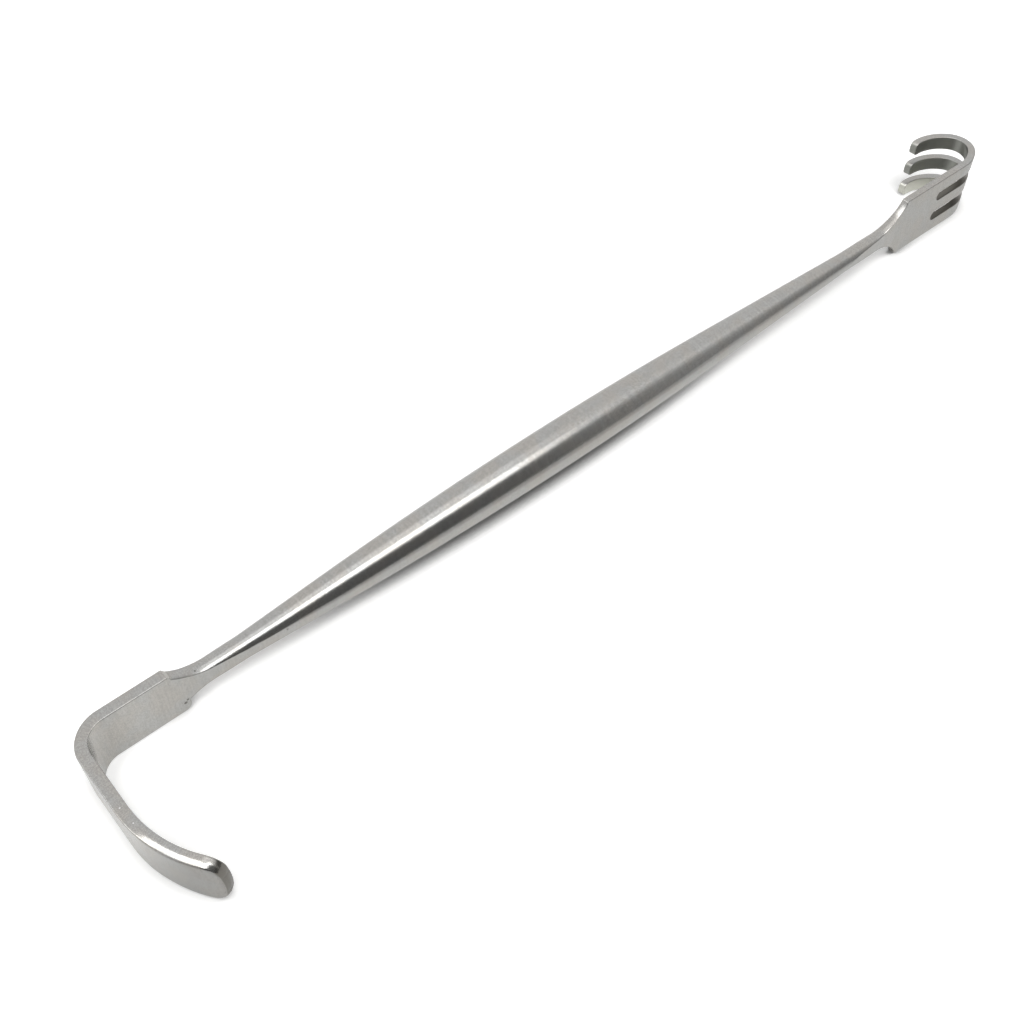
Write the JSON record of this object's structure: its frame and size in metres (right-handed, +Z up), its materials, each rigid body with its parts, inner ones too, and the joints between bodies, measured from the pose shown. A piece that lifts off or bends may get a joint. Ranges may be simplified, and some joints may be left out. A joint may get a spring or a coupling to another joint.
{
  "type": "double-ended hand-held surgical retractor",
  "caption": "One-piece steel hand retractor: a slender round handle with a curved blade at one end and a pronged rake hooked the other way at the far end.",
  "frame": {"origin": "on the table, under the middle of the box around the retractor as it lies at rest", "axes": "+X along the handle towards the rake, +Y the way the rake hooks (the blade hooks towards -Y), +Z up across the widths of blade and rake"},
  "size_m": [0.16, 0.0324, 0.0099],
  "materials": {
    "steel": "satin ground stainless steel"
  },
  "bodies": {
    "root": {"retractor": "steel"}
  },
  "joints": []
}
